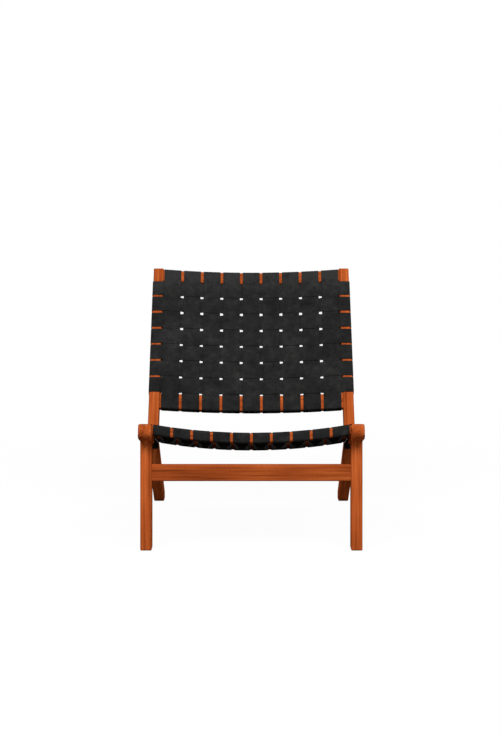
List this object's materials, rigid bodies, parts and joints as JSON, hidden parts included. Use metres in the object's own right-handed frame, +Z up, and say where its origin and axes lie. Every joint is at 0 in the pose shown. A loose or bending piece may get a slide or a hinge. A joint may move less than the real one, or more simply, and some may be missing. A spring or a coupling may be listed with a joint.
{
  "type": "strap lounge chair",
  "caption": "Low armless lounge chair with a wooden frame of raked back and splayed legs, and a bowed seat and back woven from flat leather straps.",
  "frame": {"origin": "on the floor, under the middle of the bounding box", "axes": "+X to the right seen from the front, +Y to the back of the chair, +Z up"},
  "size_m": [0.6582, 0.7904, 0.7725],
  "materials": {
    "frame_wood": "red-brown stain under satin lacquer, fine straight grain",
    "strap_leather": "matt black, full grain"
  },
  "bodies": {
    "root": {"front_leg_right": "frame_wood", "front_leg_left": "frame_wood", "rear_leg_right": "frame_wood", "rear_leg_left": "frame_wood", "seat_rail_right": "frame_wood", "seat_rail_left": "frame_wood", "back_post_right": "frame_wood", "back_post_left": "frame_wood", "knee_spline_right": "frame_wood", "knee_spline_left": "frame_wood", "front_stretcher": "frame_wood", "seat_front_bar": "frame_wood", "seat_rear_bar": "frame_wood", "back_top_bar": "frame_wood", "back_bottom_bar": "frame_wood", "back_warp_strap_1": "strap_leather", "back_warp_strap_2": "strap_leather", "back_warp_strap_3": "strap_leather", "back_warp_strap_4": "strap_leather", "back_warp_strap_5": "strap_leather", "back_warp_strap_6": "strap_leather", "back_warp_strap_7": "strap_leather", "back_warp_strap_8": "strap_leather", "back_warp_strap_9": "strap_leather", "back_weft_strap_1": "strap_leather", "back_weft_strap_2": "strap_leather", "back_weft_strap_3": "strap_leather", "back_weft_strap_4": "strap_leather", "back_weft_strap_5": "strap_leather", "back_weft_strap_6": "strap_leather", "back_weft_strap_7": "strap_leather", "seat_warp_strap_1": "strap_leather", "seat_warp_strap_2": "strap_leather", "seat_warp_strap_3": "strap_leather", "seat_warp_strap_4": "strap_leather", "seat_warp_strap_5": "strap_leather", "seat_warp_strap_6": "strap_leather", "seat_warp_strap_7": "strap_leather", "seat_warp_strap_8": "strap_leather", "seat_warp_strap_9": "strap_leather", "seat_warp_strap_10": "strap_leather", "seat_weft_strap_1": "strap_leather", "seat_weft_strap_2": "strap_leather", "seat_weft_strap_3": "strap_leather", "seat_weft_strap_4": "strap_leather", "seat_weft_strap_5": "strap_leather"}
  },
  "joints": []
}
